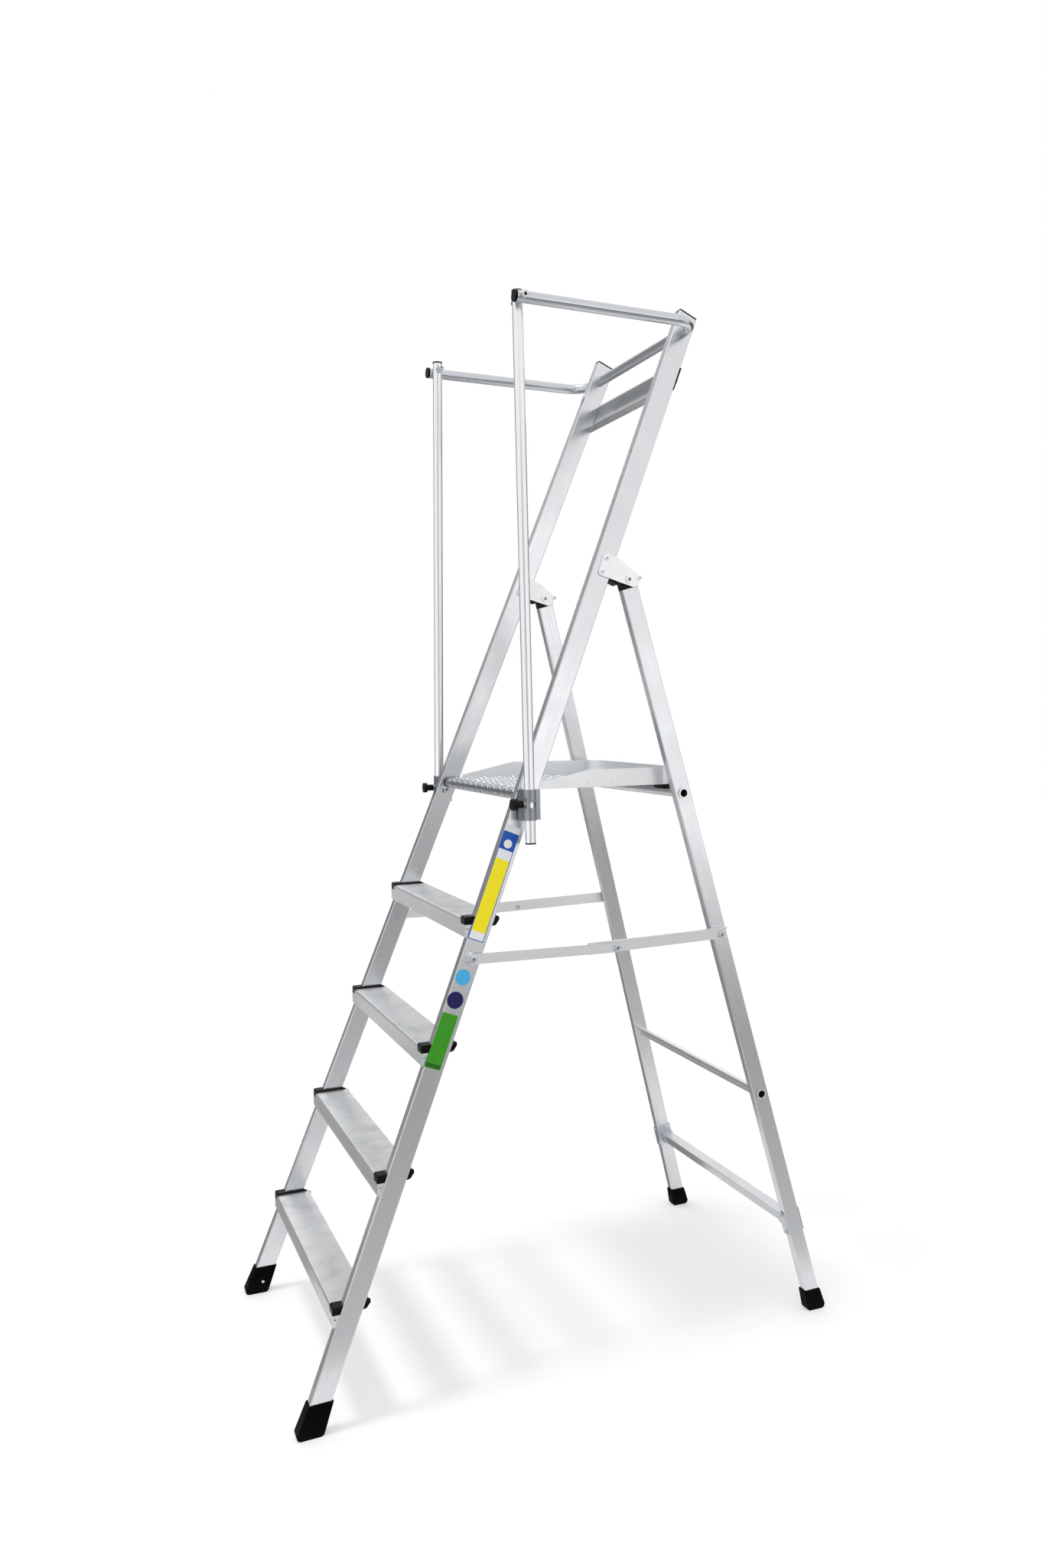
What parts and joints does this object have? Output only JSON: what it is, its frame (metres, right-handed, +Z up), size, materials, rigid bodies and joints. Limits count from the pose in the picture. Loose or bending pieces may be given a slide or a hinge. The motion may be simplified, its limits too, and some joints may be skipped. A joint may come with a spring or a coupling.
{
  "type": "podium step",
  "caption": "Folding aluminium platform step: leaning ladder frame with treads, hinged rear legs, a fold-up standing platform with toe board, folding stays and a drop-down handrail.",
  "frame": {"origin": "on the floor under the middle of the step's overall box", "axes": "+Z up, +Y from the treads towards the rear legs, +X to the climber's right"},
  "size_m": [0.6074, 1.1831, 2.1016],
  "materials": {
    "satin_aluminium": "satin extruded",
    "zinc_steel": "zinc plated",
    "black_plastic": "moulded",
    "foot_rubber": "matte"
  },
  "bodies": {
    "front_frame": {"stile_right": "satin_aluminium", "stile_left": "satin_aluminium", "stile_caps": "black_plastic", "front_feet": "foot_rubber", "tread_1": "satin_aluminium", "tread_2": "satin_aluminium", "tread_3": "satin_aluminium", "tread_4": "satin_aluminium", "tread_shoes_right": "black_plastic", "tread_shoes_left": "black_plastic", "tread_screws": "zinc_steel", "hinge_plates_outer": "satin_aluminium", "hinge_plates_inner": "satin_aluminium", "hinge_spacers": "black_plastic", "hinge_rivets": "zinc_steel", "hinge_pins": "zinc_steel", "back_bar": "satin_aluminium", "back_bar_caps": "black_plastic", "back_bar_bolts": "zinc_steel", "stay_bosses": "satin_aluminium", "stay_pivot_bolts": "zinc_steel", "sleeve_bolts": "zinc_steel", "sleeve_washers": "black_plastic", "platform_rod": "zinc_steel", "platform_bushes": "black_plastic"},
    "rear_frame": {"leg_right": "satin_aluminium", "leg_left": "satin_aluminium", "leg_caps": "black_plastic", "rear_feet": "foot_rubber", "support_rung": "satin_aluminium", "lower_rung": "satin_aluminium", "brace_bar": "satin_aluminium", "brace_bracket_right": "zinc_steel", "brace_bracket_left": "zinc_steel", "brace_screws": "zinc_steel"},
    "platform": {"platform_deck": "satin_aluminium", "toe_board": "satin_aluminium", "deck_ribs": "satin_aluminium", "platform_saddles": "black_plastic", "toe_rivets": "zinc_steel"},
    "stay_front_bar_right": {"stay_front_right": "satin_aluminium", "stay_joint_right": "zinc_steel"},
    "stay_front_bar_left": {"stay_front_left": "satin_aluminium", "stay_joint_left": "zinc_steel"},
    "stay_rear_bar_right": {"stay_rear_right": "satin_aluminium", "stay_end_right": "zinc_steel"},
    "stay_rear_bar_left": {"stay_rear_left": "satin_aluminium", "stay_end_left": "zinc_steel"},
    "handrail": {"handrail_bow": "satin_aluminium", "rail_plugs": "black_plastic", "rail_bolts": "zinc_steel"},
    "post_sleeve_right": {"sleeve_right": "satin_aluminium"},
    "post_sleeve_left": {"sleeve_left": "satin_aluminium"},
    "rail_post_right": {"post_right": "satin_aluminium", "post_fittings_right": "black_plastic"},
    "rail_post_left": {"post_left": "satin_aluminium", "post_fittings_left": "black_plastic"},
    "lock_right": {"plunger_right": "black_plastic"},
    "lock_left": {"plunger_left": "black_plastic"}
  },
  "joints": [
    {"name": "rear_fold", "type": "hinge", "parent": "front_frame", "child": "rear_frame", "pos_m": [0, 0.133, 1.58], "axis": [-1, 0, 0], "range_deg": [0, 36.5]},
    {"name": "platform_fold", "type": "hinge", "parent": "front_frame", "child": "platform", "pos_m": [0, -0.09709, 1.168], "axis": [1, 0, 0], "range_deg": [0, 67.5]},
    {"name": "stay_front_fold_right", "type": "hinge", "parent": "front_frame", "child": "stay_front_bar_right", "pos_m": [0.25317, -0.21951, 0.865], "axis": [1, 0.0001, 0], "range_deg": [0, 55.74]},
    {"name": "stay_rear_fold_right", "type": "hinge", "parent": "stay_front_bar_right", "child": "stay_rear_bar_right", "pos_m": [0.25315, 0.08649, 0.86], "axis": [-1, -0.0001, 0], "range_deg": [0, 168.42]},
    {"name": "stay_front_fold_left", "type": "hinge", "parent": "front_frame", "child": "stay_front_bar_left", "pos_m": [-0.25317, -0.21951, 0.865], "axis": [1, -0.0001, 0], "range_deg": [0, 55.74]},
    {"name": "stay_rear_fold_left", "type": "hinge", "parent": "stay_front_bar_left", "child": "stay_rear_bar_left", "pos_m": [-0.25315, 0.08649, 0.86], "axis": [-1, 0.0001, 0], "range_deg": [0, 168.42]},
    {"name": "handrail_fold", "type": "hinge", "parent": "front_frame", "child": "handrail", "pos_m": [0, 0.26209, 2.057], "axis": [1, 0, 0], "range_deg": [0, 68]},
    {"name": "sleeve_turn_right", "type": "hinge", "parent": "front_frame", "child": "post_sleeve_right", "pos_m": [0.26473, -0.10355, 1.152], "axis": [-0.9968, -0.0665, -0.0449], "range_deg": [0, 22]},
    {"name": "post_slide_right", "type": "slide", "parent": "post_sleeve_right", "child": "rail_post_right", "axis": [0.045, 0, -0.999], "range_m": [0, 0.29414]},
    {"name": "lock_pull_right", "type": "slide", "parent": "post_sleeve_right", "child": "lock_right", "axis": [0.0664, -0.9978, 0.003], "range_m": [0, 0.008], "stiffness_N_per_m": 1500, "springref_m": -0.002},
    {"name": "sleeve_turn_left", "type": "hinge", "parent": "front_frame", "child": "post_sleeve_left", "pos_m": [-0.26473, -0.10355, 1.152], "axis": [-0.9968, 0.0665, 0.0449], "range_deg": [0, 22]},
    {"name": "post_slide_left", "type": "slide", "parent": "post_sleeve_left", "child": "rail_post_left", "axis": [-0.045, 0, -0.999], "range_m": [0, 0.29414]},
    {"name": "lock_pull_left", "type": "slide", "parent": "post_sleeve_left", "child": "lock_left", "axis": [-0.0664, -0.9978, 0.003], "range_m": [0, 0.008], "stiffness_N_per_m": 1500, "springref_m": -0.002}
  ],
  "couplings": [
    {"joint": "platform_fold", "follows": "rear_fold", "ratio": 1.8493},
    {"joint": "stay_front_fold_right", "follows": "rear_fold", "ratio": 1.5271},
    {"joint": "stay_rear_fold_right", "follows": "rear_fold", "ratio": 4.6143},
    {"joint": "stay_front_fold_left", "follows": "rear_fold", "ratio": 1.5271},
    {"joint": "stay_rear_fold_left", "follows": "rear_fold", "ratio": 4.6143},
    {"joint": "sleeve_turn_right", "follows": "handrail_fold", "ratio": 0.32353},
    {"joint": "post_slide_right", "follows": "handrail_fold", "m_per_rad": 0.24783},
    {"joint": "sleeve_turn_left", "follows": "handrail_fold", "ratio": 0.32353},
    {"joint": "post_slide_left", "follows": "handrail_fold", "m_per_rad": 0.24783}
  ]
}
